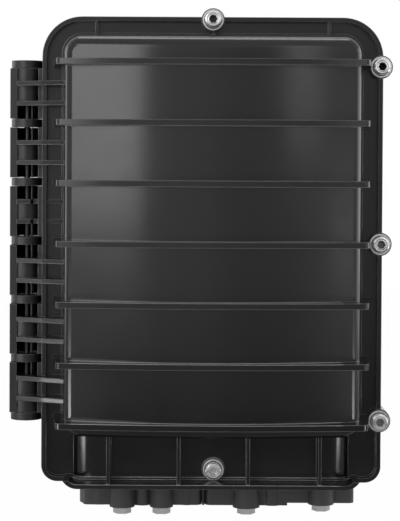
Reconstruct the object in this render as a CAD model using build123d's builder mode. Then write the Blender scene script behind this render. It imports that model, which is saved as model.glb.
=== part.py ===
from build123d import *
import math
import os

os.makedirs("parts", exist_ok=True)

# Frame: X to the right, Z up, and the wall lies in the plane Y = 0. The closure
# stands out from the wall towards -Y, so every "height" below is a distance in
# front of the wall. The origin is the middle of the four wall fixing bosses.

# Overall shells
parting_height = 82.0
shell_gap = 0.3
wall = 4.0
flange_half_width = 137.8
flange_high = 188.5
flange_low = -188.5
flange_high_radius = 32.4
flange_low_radius = 13.0
base_flange_thickness = 8.0
cover_flange_thickness = 6.0
lip_width = 3.6
lip_height = 8.0

# Cover dome
dome_half_width = 120.9
dome_high = 174.3
dome_low = -150.5
dome_corner = 17.0
dome_draft = 5.0
dome_front = 145.0
dome_crown_radius = 420.0
dome_edge = 9.0
bead_width = 1.5
bead_height = 2.0

# Ribs across the dome, and the levels that the hinge shares with them
rib_count = 7
rib_first = 150.0
rib_pitch = 47.75
rib_thickness = 4.8
rib_front = 152.0
rib_side_front = 144.5
rib_half_width = 122.6
rib_root_half_width = 129.5
rib_corner = 4.0
base_rib_thickness = 3.0
base_rib_depth = 4.0

# Port end of the cover
shelf_half_width = 112.0
shelf_front = 96.0
shelf_corner = 16.0
end_wall_half_width = 121.0
end_wall_front = 120.0
end_wall_thickness = 3.6
end_wall_low = -190.4
end_wall_radius = 14.0
end_wall_turn = 6.5
edge_step = 1.0
web_positions = (-82.5, -26.0, 29.7, 87.0)
web_thickness = 2.6
tie_positions = (-94.3, 0.5, 94.4)
tie_thickness = 2.0

# Base body and cavity
body_half_width = 120.0
body_high = 174.0
body_draft = 2.0
foot_height = 6.0
foot_radius = 12.0
cavity_half_width = 116.0
cavity_high = 170.0
cavity_low = -150.0
cavity_corner = 14.0
mount_spacing_x = 180.0
mount_spacing_z = 260.0
mount_bore = 4.0
mount_insert_radius = 5.95
mount_insert_length = 12.0
standoff_radius = 9.0
standoff_front = 20.0
press_clearance = 0.05

# Gasket between the shells
groove_offset = 5.5
groove_width = 5.0
groove_depth = 5.0
gasket_clearance = 0.2
tongue_width = 2.6
tongue_height = 1.5
seal_gap = 0.3

# Cover bolts
bolt_x = 136.0
bolt_below_rib = 1.3
bolt_high = 186.1
port_bolt_x = 2.0
port_bolt_z = -178.0
lug_radius = 9.4
lug_height = 15.7
base_lug_radius = 9.0
base_lug_height = 24.0
base_gusset_thickness = 3.0
bolt_neck_radius = 4.0
bolt_thread_radius = 3.3
bolt_hole_radius = 4.4
bolt_head_radius = 6.5
bolt_head_height = 8.0
bolt_reach = 12.0
bolt_point = 0.8
hex_across_flats = 6.0
hex_depth = 4.0
washer_radius = 8.5
washer_thickness = 1.6
washer_hole_radius = 4.3
spot_clearance = 0.3
insert_radius = 5.55
insert_bore = 4.0
insert_length = 12.5
insert_end_gap = 1.0
neck_end_gap = 1.0

# Hinge
hinge_x = -151.3
hinge_radius = 12.7
rod_radius = 2.5
rod_clearance = 0.08
ring_thickness = 6.4
ring_gap = 0.4
ring_tail_angle = 36.9
ring_reach = 38.0
cap_thickness = 6.0
cap_wall = 2.0
channel_left = 7.0
channel_right = 10.0
channel_back = 8.0
channel_front = 12.0
fin_x = 4.2
fin_thickness = 1.1
fin_front = 3.5
arm_spacing = 16.2
arm_thickness = 3.6
arm_hinge_front = 97.0
arm_dome_front = 118.0
arm_overlap = 2.0
low_arm_front = 93.0
low_arm_tip_front = 98.0
low_arm_slope = 2.0
low_knuckle = 2
plug_head_radius = 4.0
plug_head_height = 1.5

# Cable ports: x, height, collar radius, bore radius
port_block_low = -214.0
port_plate_top = -188.5
left_ports = ((-92.0, 47.0, 17.5, 11.0), (-56.7, 59.0, 8.3, 5.0), (-19.5, 58.0, 7.0, 4.5))
right_ports = ((51.4, 57.0, 9.2, 6.0), (72.0, 56.0, 8.0, 4.5), (111.0, 52.0, 9.0, 2.6))
left_bolts = ((-73.1, 66.0, 10.5), (-40.5, 66.0, 9.7))
right_bolts = ((29.8, 66.0, 11.2), (91.7, 66.0, 10.8))
rear_bolt_height = 30.0
gland_lobe_drop = 0.6
gland_step_x = 64.0
gland_step_low = -211.8
left_tunnel = (-111.0, -11.0)
right_tunnel = (13.0, 115.0)
tunnel_back = 20.0
tunnel_front = 74.0
tunnel_radius = 8.0
left_block = (-106.0, -7.2)
right_block = (-4.6, 119.5)
block_back = 24.0
block_front = 64.0
block_radius = 5.0
centre_web_x = -5.9
centre_web_thickness = 2.0
web_foot_width = 9.0
web_foot_thickness = 2.0
web_foot_gap = 0.3
seal_low = -188.5
seal_high = -158.0
seal_clearance = 0.15
inner_plate_thickness = 6.0
inner_plate_clearance = 0.5
gland_bolt_radius = 4.0
gland_hole_clearance = 0.4
gland_head_flats = 13.0
gland_head_height = 5.3
gland_nut_height = 6.5
gland_end_margin = 1.5
plug_clearance = 0.1
plug_recess = 2.0
plug_grip_height = 1.5
plug_grip_width = 2.4

# Organiser inside the base
chassis_half_width = 104.0
chassis_low = -142.0
chassis_high = 160.0
chassis_thickness = 2.0
chassis_upturn = 8.0
slot_length = 40.0
slot_width = 8.0
slot_levels = (10.0, 70.0, 130.0)
screw_radius = 2.5
screw_head_radius = 4.6
screw_head_height = 3.0
screw_length = 7.0
screw_edge = 0.5
tray_count = 4
tray_pitch = 12.0
tray_step = 10.0
tray_axis_height = 38.0
tray_axis_z = -62.0
tray_recline = 3.0
tray_half_width = 78.0
tray_start = 5.0
tray_end = 206.0
tray_corner = 14.0
tray_floor = 1.6
tray_wall = 1.6
tray_rim = 8.0
tray_pin_radius = 2.0
tray_pin_clearance = 0.08
tray_lug_radius = 4.0
tray_lug_width = 6.0
tray_lug_overlap = 2.0
tray_entry_x = 52.0
tray_entry_width = 24.0
mandrel_radius = 31.0
mandrel_low = 50.0
mandrel_high = 161.0
mandrel_height = 6.0
mandrel_gap = 16.0
tab_length = 9.0
tab_width = 12.0
tab_thickness = 1.2
nub_radius = 2.4
nub_x = 75.5
nub_places = (60.0, 180.0)
holder_width = 52.0
holder_length = 46.0
holder_height = 5.0
holder_base = 1.2
holder_slots = 12
holder_slot_width = 2.6
holder_ridge_length = 16.0
lid_thickness = 1.2
lid_leg_length = 12.0
lid_clearance = 0.2
lid_leg_thickness = 1.4
bracket_cheek = 4.0
bracket_gap = 5.0
bracket_plate = 3.0
bracket_low = -106.0
bracket_high = -50.0
bracket_front = 82.0
bracket_screws = ((-60.0, -99.0), (60.0, -99.0), (-60.0, -57.0), (60.0, -57.0))
rail_z = -119.0
rail_half_length = 80.0
rail_depth = 14.0
rail_thickness = 2.5
clamp_positions = (-65.0, -39.0, -13.0, 13.0, 39.0, 65.0)
clamp_width = 25.0
clamp_arch_radius = 6.0
clamp_thickness = 2.0
clamp_length = 10.0
clamp_screw_offset = 10.3
clamp_screw_radius = 1.2
clamp_head_radius = 1.9
clamp_head_height = 1.5
anchor_positions = (-79.5, -68.0, 68.0, 79.5)
anchor_z = -134.0
anchor_size = 9.0
anchor_height = 12.0
anchor_bore = 2.4
bar_z = -135.0
bar_half_length = 60.0
bar_width = 9.0
bar_thickness = 4.0
bar_screws = (-45.0, -15.0, 15.0, 45.0)
guide_x = 95.0
guide_positions = (-20.0, 45.0, 110.0)
guide_height = 22.0
guide_width = 12.0
guide_wall = 2.4
guide_length = 10.0
guide_gap = 3.0

# Worked out from the values above
cover_seat = parting_height + shell_gap
cover_plate = cover_seat + cover_flange_thickness
dome_lean = (arm_dome_front - cover_plate) * math.tan(math.radians(dome_draft))
lip_front = cover_plate + lip_height
hinge_height = parting_height + shell_gap / 2
cavity_floor = foot_height + wall
rib_levels = [rib_first - rib_pitch * i for i in range(rib_count)]
chassis_front = standoff_front + chassis_thickness
lug_front = cover_seat + lug_height
cover_bolts = {
    "cover_bolt_top": (0.0, bolt_high),
    "cover_bolt_side_upper": (bolt_x, rib_levels[0] - bolt_below_rib),
    "cover_bolt_side_middle": (bolt_x, rib_levels[3] - bolt_below_rib),
    "cover_bolt_side_lower": (bolt_x, rib_levels[6] - bolt_below_rib),
    "cover_bolt_port_end": (port_bolt_x, port_bolt_z),
}
mount_places = [
    (side * mount_spacing_x / 2, end * mount_spacing_z / 2) for side in (-1, 1) for end in (-1, 1)
]


def front_plane(height):
    """Plane that faces away from the wall, at a height in front of it."""
    return Plane.XZ.offset(height)


def outline(half_width, low, high, radius):
    """Rounded rectangle from its edges, in the sketch that is open."""
    with Locations((0, (low + high) / 2)):
        RectangleRounded(2 * half_width, high - low, radius)


def flange_outline():
    """Outline of both flanges, with larger corners at the upper end."""
    with BuildSketch(Plane.XY) as shape:
        with Locations((0, (flange_low + flange_high) / 2)):
            Rectangle(2 * flange_half_width, flange_high - flange_low)
        fillet(shape.vertices().group_by(Axis.Y)[-1], flange_high_radius)
        fillet(shape.vertices().group_by(Axis.Y)[0], flange_low_radius)
    return shape.sketch


def save(piece, name):
    """Label one finished piece and write its STEP file."""
    piece.label = name
    export_step(piece, f"parts/{name}.step")


flange_shape = flange_outline()


# Dome, solid, with every surface set in from the outside by one distance
def dome_solid(inset, root_height):
    with BuildPart() as dome:
        with BuildSketch(front_plane(root_height)):
            outline(dome_half_width - inset, dome_low + inset, dome_high - inset, dome_corner - inset)
        extrude(amount=dome_front - root_height, taper=dome_draft)
        with BuildSketch(Plane.XY.offset(dome_low)):
            with Locations((0, dome_crown_radius - dome_front)):
                Circle(dome_crown_radius - inset)
        extrude(amount=dome_high - dome_low, mode=Mode.INTERSECT)
        front_face = dome.faces().sort_by(Axis.Y)[0]
        fillet(front_face.edges(), dome_edge - inset / 2)
    return dome.part


dome_outside = dome_solid(0, cover_plate)
dome_inside = dome_solid(wall, cover_seat)

# Cover shell
knuckle_spans = [
    (rib_levels[k + 1] + ring_thickness / 2 + ring_gap, rib_levels[k] - ring_thickness / 2 - ring_gap)
    for k in range(rib_count - 1)
]
knuckle_middles = [(rib_levels[k] + rib_levels[k + 1]) / 2 for k in range(rib_count - 1)]

with BuildPart() as cover_shell:
    with BuildSketch(front_plane(cover_seat)):
        add(flange_shape)
    extrude(amount=cover_flange_thickness)
    with BuildSketch(front_plane(cover_plate)):
        add(flange_shape)
        offset(flange_shape, amount=-lip_width, kind=Kind.INTERSECTION, mode=Mode.SUBTRACT)
    extrude(amount=lip_height)
    add(dome_outside)
    # Bead round the foot of the dome
    with BuildSketch(front_plane(cover_plate)):
        outline(dome_half_width + bead_width, dome_low - bead_width, dome_high + bead_width, dome_corner)
    extrude(amount=bead_height)
    # Ribs over the dome
    with BuildSketch(*[Plane.XY.offset(level - rib_thickness / 2) for level in rib_levels]) as rib_shape:
        with BuildLine():
            left = Line((-rib_root_half_width, -cover_plate), (-rib_half_width, -rib_side_front))
            crown = ThreePointArc(left @ 1, (0, -rib_front), (rib_half_width, -rib_side_front))
            right = Line(crown @ 1, (rib_root_half_width, -cover_plate))
            Line(right @ 1, left @ 0)
        make_face()
        fillet(rib_shape.vertices().group_by(Axis.Y)[0], rib_corner)
    extrude(amount=rib_thickness)
    # Raised shelf over the ports
    with BuildSketch(Plane.XY.offset(end_wall_low + end_wall_thickness / 2)):
        shelf_top = shelf_half_width - shelf_corner
        with BuildLine():
            Line((-shelf_top, -shelf_front), (shelf_top, -shelf_front))
            TangentArc((shelf_top, -shelf_front), (shelf_half_width, -cover_plate), tangent=(1, 0))
            TangentArc((-shelf_top, -shelf_front), (-shelf_half_width, -cover_plate), tangent=(-1, 0))
            Polyline(
                (-shelf_half_width, -cover_plate),
                (-shelf_half_width, -cover_seat),
                (shelf_half_width, -cover_seat),
                (shelf_half_width, -cover_plate),
            )
        make_face()
    extrude(amount=dome_low - end_wall_low)
    # Tall end wall whose two ends turn up round the shelf
    with BuildSketch(front_plane(cover_seat)):
        outline(end_wall_half_width, end_wall_low, dome_low, end_wall_radius)
        with Locations((0, (end_wall_low + end_wall_thickness + dome_low) / 2)):
            RectangleRounded(
                2 * (end_wall_half_width - end_wall_thickness),
                dome_low - end_wall_low - end_wall_thickness,
                end_wall_radius - end_wall_thickness,
                mode=Mode.SUBTRACT,
            )
        with Locations((0, end_wall_low + end_wall_turn / 2)):
            Rectangle(2 * end_wall_half_width, end_wall_turn, mode=Mode.INTERSECT)
    extrude(amount=end_wall_front - cover_seat)
    # Webs between the dome and the end wall, and ties between the dome and the lip
    web_high = dome_low + 2 * wall
    with BuildSketch(front_plane(cover_plate)):
        with Locations(*[(x, (web_high + end_wall_low) / 2) for x in web_positions]):
            Rectangle(web_thickness, web_high - end_wall_low)
    extrude(amount=end_wall_front - cover_plate - edge_step)
    tie_low = dome_high - wall
    tie_high = flange_high - lip_width / 2
    with BuildSketch(front_plane(cover_plate)):
        with Locations(*[(x, (tie_low + tie_high) / 2) for x in tie_positions]):
            Rectangle(tie_thickness, tie_high - tie_low)
    extrude(amount=lip_height - edge_step)
    # Lugs under the cover bolts
    with BuildSketch(front_plane(cover_seat)):
        with Locations(*cover_bolts.values()):
            Circle(lug_radius)
    extrude(amount=lug_height)
    # Hinge knuckles: an open channel, a solid block in its middle and two arms
    for k, (low, high) in enumerate(knuckle_spans):
        middle = knuckle_middles[k]
        with BuildSketch(Plane.XY.offset(low)):
            with Locations((hinge_x, -hinge_height)):
                Circle(hinge_radius)
                with Locations((0, -channel_front / 2)):
                    Rectangle(2 * hinge_radius, channel_front)
                with Locations((hinge_radius, -channel_front / 2)):
                    Rectangle(2 * lip_width, channel_front)
                with Locations((-channel_left, 0)):
                    Rectangle(
                        channel_left + channel_right,
                        2 * hinge_radius,
                        align=(Align.MIN, Align.MAX),
                        mode=Mode.SUBTRACT,
                    )
                with Locations(((channel_right - channel_left) / 2, 0)):
                    Ellipse((channel_left + channel_right) / 2, channel_back, mode=Mode.SUBTRACT)
                with Locations((fin_x, (channel_back - fin_front) / 2)):
                    Rectangle(fin_thickness, channel_back + fin_front)
        extrude(amount=high - low)
        block_low = low if k == rib_count - 2 else middle - (arm_spacing + arm_thickness) / 2
        block_high = high if k == 0 else middle + (arm_spacing + arm_thickness) / 2
        with BuildSketch(Plane.XY.offset(block_low)):
            with Locations((hinge_x, -hinge_height)):
                Circle(hinge_radius)
        extrude(amount=block_high - block_low)
        arm_left = hinge_x - channel_left
        arm_planes = [Plane.XY.offset(middle + s * arm_spacing / 2 - arm_thickness / 2) for s in (-1, 1)]
        with BuildSketch(*arm_planes):
            with BuildLine():
                if k == low_knuckle:
                    Polyline(
                        (arm_left, -hinge_height),
                        (arm_left, -low_arm_tip_front),
                        (hinge_x + fin_x, -low_arm_tip_front),
                        (hinge_x + fin_x + low_arm_slope, -low_arm_front),
                        (arm_overlap - dome_half_width, -low_arm_front),
                        (arm_overlap - dome_half_width, -hinge_height),
                        close=True,
                    )
                else:
                    Polyline(
                        (arm_left, -hinge_height),
                        (arm_left, -arm_hinge_front),
                        (arm_overlap + dome_lean - dome_half_width, -arm_dome_front),
                        (arm_overlap - dome_half_width, -hinge_height),
                        close=True,
                    )
            make_face()
        extrude(amount=arm_thickness)
    # Hollow under the dome, the bore for the hinge rod and the bolt holes
    add(dome_inside, mode=Mode.SUBTRACT)
    with BuildSketch(Plane.XY.offset(rib_levels[-1])):
        with Locations((hinge_x, -hinge_height)):
            Circle(rod_radius + rod_clearance)
    extrude(amount=rib_levels[0] - rib_levels[-1], mode=Mode.SUBTRACT)
    with BuildSketch(front_plane(cover_seat)):
        with Locations(*cover_bolts.values()):
            Circle(bolt_hole_radius)
    extrude(amount=lug_height, mode=Mode.SUBTRACT)
    with BuildSketch(front_plane(lug_front)):
        with Locations(*cover_bolts.values()):
            Circle(washer_radius + spot_clearance)
    extrude(amount=bolt_head_height + 2 * washer_thickness, mode=Mode.SUBTRACT)
    # Hollow under the shelf on both sides of the port end bolt
    with BuildSketch(front_plane(cover_seat)):
        with Locations((0, (end_wall_low + dome_low - groove_offset) / 2)):
            Rectangle(
                2 * shelf_top,
                dome_low - groove_offset - end_wall_low - 3 * wall,
            )
        with Locations((port_bolt_x, port_bolt_z)):
            Rectangle(2 * lug_radius, 4 * lug_radius, mode=Mode.SUBTRACT)
    extrude(amount=shelf_front - cover_seat - wall, mode=Mode.SUBTRACT)
    # Tongue that presses the gasket
    with BuildSketch(front_plane(cover_seat - tongue_height)):
        outline(
            cavity_half_width + groove_offset + tongue_width / 2,
            cavity_low - groove_offset - tongue_width / 2,
            cavity_high + groove_offset + tongue_width / 2,
            cavity_corner + groove_offset + tongue_width / 2,
        )
        with Locations((0, (cavity_low + cavity_high) / 2)):
            RectangleRounded(
                2 * (cavity_half_width + groove_offset) - tongue_width,
                cavity_high - cavity_low + 2 * groove_offset - tongue_width,
                cavity_corner + groove_offset - tongue_width / 2,
                mode=Mode.SUBTRACT,
            )
    extrude(amount=tongue_height)

save(cover_shell.part, "cover_shell")

# Base shell
body_shrink = (parting_height - foot_height) * math.tan(math.radians(body_draft))
cavity_shrink = (parting_height - cavity_floor) * math.tan(math.radians(body_draft))

with BuildPart() as base_shell:
    with BuildSketch(front_plane(foot_height)):
        outline(
            body_half_width - body_shrink,
            flange_low + body_shrink,
            body_high - body_shrink,
            cavity_corner + wall - body_shrink / 2,
        )
    extrude(amount=parting_height - foot_height, taper=-body_draft)
    with BuildSketch(front_plane(parting_height - base_flange_thickness)):
        add(flange_shape)
    extrude(amount=base_flange_thickness)
    # Ribs round the back and sides
    back_rib_planes = [Plane.XY.offset(level - base_rib_thickness / 2) for level in rib_levels]
    with BuildSketch(*back_rib_planes) as back_rib:
        with BuildLine():
            Polyline(
                (-body_half_width - base_rib_depth, base_flange_thickness - parting_height),
                (-body_half_width + body_shrink - base_rib_depth, -foot_height / 2),
                (body_half_width - body_shrink + base_rib_depth, -foot_height / 2),
                (body_half_width + base_rib_depth, base_flange_thickness - parting_height),
                close=True,
            )
        make_face()
        fillet(back_rib.vertices().group_by(Axis.Y)[-1], rib_corner)
    extrude(amount=base_rib_thickness)
    # Lugs for the bolt inserts, with a gusset from each to the body
    with BuildSketch(front_plane(parting_height - base_lug_height)):
        with Locations(*cover_bolts.values()):
            Circle(base_lug_radius)
        for x, z in cover_bolts.values():
            if x == bolt_x:
                with Locations(((x + body_half_width) / 2 - wall / 2, z)):
                    Rectangle(x - body_half_width + wall, base_gusset_thickness)
        with Locations((0, (bolt_high + body_high) / 2 - wall / 2)):
            Rectangle(base_gusset_thickness, bolt_high - body_high + wall)
    extrude(amount=base_lug_height)
    # Feet on the wall side
    with BuildSketch(front_plane(0)):
        with Locations(*mount_places):
            Circle(foot_radius)
    extrude(amount=foot_height)
    # Rings and end caps of the hinge
    ring_planes = [Plane.XY.offset(level - ring_thickness / 2) for level in rib_levels[1:-1]]
    cap_planes = [Plane.XY.offset(level - cap_thickness / 2) for level in (rib_levels[0], rib_levels[-1])]
    tail = math.radians(ring_tail_angle)
    for planes, thickness in ((ring_planes, ring_thickness), (cap_planes, cap_thickness)):
        with BuildSketch(*planes):
            with Locations((hinge_x, -hinge_height)):
                Circle(hinge_radius)
            with BuildLine():
                Polyline(
                    (hinge_x - hinge_radius * math.sin(tail), hinge_radius * math.cos(tail) - hinge_height),
                    (hinge_x, -hinge_height),
                    (-flange_half_width, -hinge_height + shell_gap / 2),
                    (-body_half_width + wall / 2, -hinge_height + shell_gap / 2),
                    (-body_half_width + wall / 2, ring_reach - hinge_height),
                    close=True,
                )
            make_face()
        extrude(amount=thickness)
    # Cavity and the two port tunnels
    with BuildSketch(front_plane(cavity_floor)):
        outline(
            cavity_half_width - cavity_shrink,
            cavity_low + cavity_shrink,
            cavity_high - cavity_shrink,
            cavity_corner - cavity_shrink / 2,
        )
    extrude(amount=parting_height - cavity_floor, taper=-body_draft, mode=Mode.SUBTRACT)
    for left, right in (left_tunnel, right_tunnel):
        with BuildSketch(Plane.XY.offset(flange_low)):
            with Locations(((left + right) / 2, -(tunnel_back + tunnel_front) / 2)):
                RectangleRounded(right - left, tunnel_front - tunnel_back, tunnel_radius)
        extrude(amount=cavity_low - flange_low + wall, mode=Mode.SUBTRACT)
        # Lightening pocket behind the tunnel, open to the wall
        with BuildSketch(front_plane(foot_height)):
            with Locations(((left + right) / 2, (flange_low + cavity_low) / 2)):
                Rectangle(right - left - 2 * wall, cavity_low - flange_low - 3 * wall)
        extrude(amount=tunnel_back - foot_height - wall, mode=Mode.SUBTRACT)
    # Gasket groove
    with BuildSketch(front_plane(parting_height - groove_depth)):
        outline(
            cavity_half_width + groove_offset + groove_width / 2,
            cavity_low - groove_offset - groove_width / 2,
            cavity_high + groove_offset + groove_width / 2,
            cavity_corner + groove_offset + groove_width / 2,
        )
        with Locations((0, (cavity_low + cavity_high) / 2)):
            RectangleRounded(
                2 * (cavity_half_width + groove_offset) - groove_width,
                cavity_high - cavity_low + 2 * groove_offset - groove_width,
                cavity_corner + groove_offset - groove_width / 2,
                mode=Mode.SUBTRACT,
            )
    extrude(amount=groove_depth, mode=Mode.SUBTRACT)
    # Standoffs for the organiser, over the wall fixing bosses
    with BuildSketch(front_plane(cavity_floor - wall / 2)):
        with Locations(*mount_places):
            Circle(standoff_radius)
    extrude(amount=standoff_front - cavity_floor + wall / 2)
    with BuildSketch(front_plane(0)):
        with Locations(*mount_places):
            Circle(mount_insert_radius + press_clearance)
    extrude(amount=mount_insert_length, mode=Mode.SUBTRACT)
    with BuildSketch(front_plane(standoff_front - screw_length + chassis_thickness)):
        with Locations(*mount_places):
            Circle(screw_radius)
    extrude(amount=screw_length, mode=Mode.SUBTRACT)
    # Holes for the bolt inserts, and the bore for the hinge rod
    with BuildSketch(front_plane(parting_height)):
        with Locations(*cover_bolts.values()):
            Circle(insert_radius + press_clearance)
    extrude(amount=-(insert_length + insert_end_gap), mode=Mode.SUBTRACT)
    with BuildSketch(Plane.XY.offset(rib_levels[-1] - cap_thickness / 2)):
        with Locations((hinge_x, -hinge_height)):
            Circle(rod_radius + press_clearance)
    extrude(amount=rib_levels[0] - rib_levels[-1] + cap_thickness - cap_wall, mode=Mode.SUBTRACT)
    # Thin web between the two port plates, with a foot behind them that closes the gaps
    web_back = block_back - web_foot_gap
    with BuildSketch(Plane.XY.offset(port_block_low)):
        with Locations((centre_web_x, -(web_back + block_front) / 2)):
            Rectangle(centre_web_thickness, block_front - web_back)
        with Locations((centre_web_x, -web_back)):
            Rectangle(web_foot_width, web_foot_thickness, align=(Align.CENTER, Align.MIN))
    extrude(amount=flange_low - port_block_low + wall)

save(base_shell.part, "base_shell")

# Gasket in its groove, just under the tongue
gasket_half = groove_width / 2 - gasket_clearance
with BuildPart() as cover_gasket:
    with BuildSketch(front_plane(parting_height - groove_depth)):
        outline(
            cavity_half_width + groove_offset + gasket_half,
            cavity_low - groove_offset - gasket_half,
            cavity_high + groove_offset + gasket_half,
            cavity_corner + groove_offset + gasket_half,
        )
        with Locations((0, (cavity_low + cavity_high) / 2)):
            RectangleRounded(
                2 * (cavity_half_width + groove_offset - gasket_half),
                cavity_high - cavity_low + 2 * (groove_offset - gasket_half),
                cavity_corner + groove_offset - gasket_half,
                mode=Mode.SUBTRACT,
            )
    extrude(amount=groove_depth + shell_gap - tongue_height - seal_gap)
save(cover_gasket.part, "cover_gasket")

# Hinge rod and the plug that keeps it in
rod_low = rib_levels[-1] - cap_thickness / 2 + cap_wall
rod_high = rib_levels[0] + cap_thickness / 2 - cap_wall
with BuildPart() as hinge_rod:
    with BuildSketch(Plane.XY.offset(rod_low)):
        with Locations((hinge_x, -hinge_height)):
            Circle(rod_radius)
    extrude(amount=rod_high - rod_low)
    chamfer(hinge_rod.faces().sort_by(Axis.Z)[-1].edges(), rod_radius / 5)
save(hinge_rod.part, "hinge_rod")

with BuildPart() as hinge_rod_plug:
    with BuildSketch(Plane.XY.offset(rod_low)):
        with Locations((hinge_x, -hinge_height)):
            Circle(rod_radius)
    extrude(amount=-cap_wall)
    with BuildSketch(Plane.XY.offset(rod_low - cap_wall)):
        with Locations((hinge_x, -hinge_height)):
            Circle(plug_head_radius)
    extrude(amount=-plug_head_height)
    fillet(hinge_rod_plug.faces().sort_by(Axis.Z)[0].edges(), plug_head_height / 2)
save(hinge_rod_plug.part, "hinge_rod_plug")

# Cover bolts, their washers and the inserts in the base
head_seat = lug_front + washer_thickness
for name, place in cover_bolts.items():
    with BuildPart() as cover_bolt:
        with BuildSketch(front_plane(head_seat)):
            with Locations(place):
                Circle(bolt_head_radius)
        extrude(amount=bolt_head_height)
        fillet(cover_bolt.faces().sort_by(Axis.Y)[0].edges(), bolt_point)
        with BuildSketch(front_plane(head_seat)):
            with Locations(place):
                Circle(bolt_neck_radius)
        extrude(amount=-(head_seat - cover_seat - neck_end_gap))
        with BuildSketch(front_plane(head_seat)):
            with Locations(place):
                Circle(bolt_thread_radius)
        extrude(amount=-(head_seat - parting_height + bolt_reach))
        chamfer(cover_bolt.faces().sort_by(Axis.Y)[-1].edges(), bolt_point)
        with BuildSketch(front_plane(head_seat + bolt_head_height)):
            with Locations(place):
                RegularPolygon(hex_across_flats / 2, 6, major_radius=False)
        extrude(amount=-hex_depth, mode=Mode.SUBTRACT)
    save(cover_bolt.part, name)

with BuildPart() as cover_bolt_washers:
    with BuildSketch(front_plane(lug_front)):
        with Locations(*cover_bolts.values()):
            Circle(washer_radius)
            Circle(washer_hole_radius, mode=Mode.SUBTRACT)
    extrude(amount=washer_thickness)
save(cover_bolt_washers.part, "cover_bolt_washers")

with BuildPart() as cover_bolt_inserts:
    with BuildSketch(front_plane(parting_height - press_clearance)):
        with Locations(*cover_bolts.values()):
            Circle(insert_radius)
            Circle(insert_bore, mode=Mode.SUBTRACT)
    extrude(amount=-insert_length)
save(cover_bolt_inserts.part, "cover_bolt_inserts")

with BuildPart() as mount_inserts:
    with BuildSketch(front_plane(0)):
        with Locations(*mount_places):
            Circle(mount_insert_radius)
            Circle(mount_bore, mode=Mode.SUBTRACT)
    extrude(amount=mount_insert_length)
save(mount_inserts.part, "mount_inserts")

# Cable glands: each is an outer plate, a rubber block and an inner plate on four bolts
gland_places = [
    (x, -height) for x, front, radius in left_bolts + right_bolts for height in (front, rear_bolt_height)
]
inner_plate_low = seal_high
nut_low = inner_plate_low + inner_plate_thickness
glands = {
    "left": (left_tunnel, left_block, left_ports, left_bolts),
    "right": (right_tunnel, right_block, right_ports, right_bolts),
}
for side, (tunnel, block, ports, bolts) in glands.items():
    bolt_holes = [(x, -height) for x, front, radius in bolts for height in (front, rear_bolt_height)]
    with BuildPart() as outer_plate:
        with BuildSketch(Plane.XY.offset(port_plate_top)):
            with Locations((sum(block) / 2, -(block_back + block_front) / 2)):
                RectangleRounded(block[1] - block[0], block_front - block_back, block_radius)
            for x, height, collar, bore in ports:
                with Locations((x, -height)):
                    Circle(collar)
        extrude(amount=port_block_low - port_plate_top)
        for x, front, radius in bolts:
            with BuildSketch(Plane.XY.offset(port_plate_top)):
                with Locations((x, -front), (x, -rear_bolt_height)):
                    Circle(radius)
            extrude(amount=port_block_low - gland_lobe_drop - port_plate_top)
        # Shallower stretch at the right
        with BuildSketch(Plane.XY.offset(gland_step_low)):
            with Locations((gland_step_x, 0)):
                Rectangle(tunnel_front * 2, tunnel_front * 4, align=(Align.MIN, Align.CENTER))
        extrude(amount=port_block_low - gland_lobe_drop - gland_step_low, mode=Mode.SUBTRACT)
        with BuildSketch(Plane.XY.offset(port_plate_top)):
            for x, height, collar, bore in ports:
                with Locations((x, -height)):
                    Circle(bore)
            with Locations(*bolt_holes):
                Circle(gland_bolt_radius + gland_hole_clearance)
        extrude(amount=port_block_low - gland_lobe_drop - port_plate_top, mode=Mode.SUBTRACT)
    save(outer_plate.part, f"outer_gland_plate_{side}")

    with BuildPart() as seal_block:
        with BuildSketch(Plane.XY.offset(seal_low)):
            with Locations((sum(tunnel) / 2, -(tunnel_back + tunnel_front) / 2)):
                RectangleRounded(
                    tunnel[1] - tunnel[0] - 2 * seal_clearance,
                    tunnel_front - tunnel_back - 2 * seal_clearance,
                    tunnel_radius - seal_clearance,
                )
            for x, height, collar, bore in ports:
                with Locations((x, -height)):
                    Circle(bore, mode=Mode.SUBTRACT)
            with Locations(*bolt_holes):
                Circle(gland_bolt_radius + gland_hole_clearance, mode=Mode.SUBTRACT)
        extrude(amount=seal_high - seal_low)
    save(seal_block.part, f"seal_block_{side}")

    with BuildPart() as inner_plate:
        with BuildSketch(Plane.XY.offset(inner_plate_low)):
            with Locations((sum(tunnel) / 2, -(tunnel_back + tunnel_front) / 2)):
                RectangleRounded(
                    tunnel[1] - tunnel[0] - 2 * inner_plate_clearance,
                    tunnel_front - tunnel_back - 2 * inner_plate_clearance,
                    tunnel_radius - inner_plate_clearance,
                )
            for x, height, collar, bore in ports:
                with Locations((x, -height)):
                    Circle(bore + inner_plate_clearance, mode=Mode.SUBTRACT)
            with Locations(*bolt_holes):
                Circle(gland_bolt_radius + gland_hole_clearance, mode=Mode.SUBTRACT)
        extrude(amount=inner_plate_thickness)
    save(inner_plate.part, f"inner_gland_plate_{side}")

with BuildPart() as gland_bolts:
    for x, front, radius in left_bolts + right_bolts:
        head_top = gland_step_low if x > gland_step_x else port_block_low - gland_lobe_drop
        with BuildSketch(Plane.XY.offset(head_top)):
            with Locations((x, -front), (x, -rear_bolt_height)):
                RegularPolygon(gland_head_flats / 2, 6, major_radius=False)
        extrude(amount=-gland_head_height)
        with BuildSketch(Plane.XY.offset(head_top)):
            with Locations((x, -front), (x, -rear_bolt_height)):
                Circle(gland_bolt_radius)
        extrude(amount=nut_low + gland_nut_height + gland_end_margin - head_top)
save(gland_bolts.part, "gland_bolts")

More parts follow.
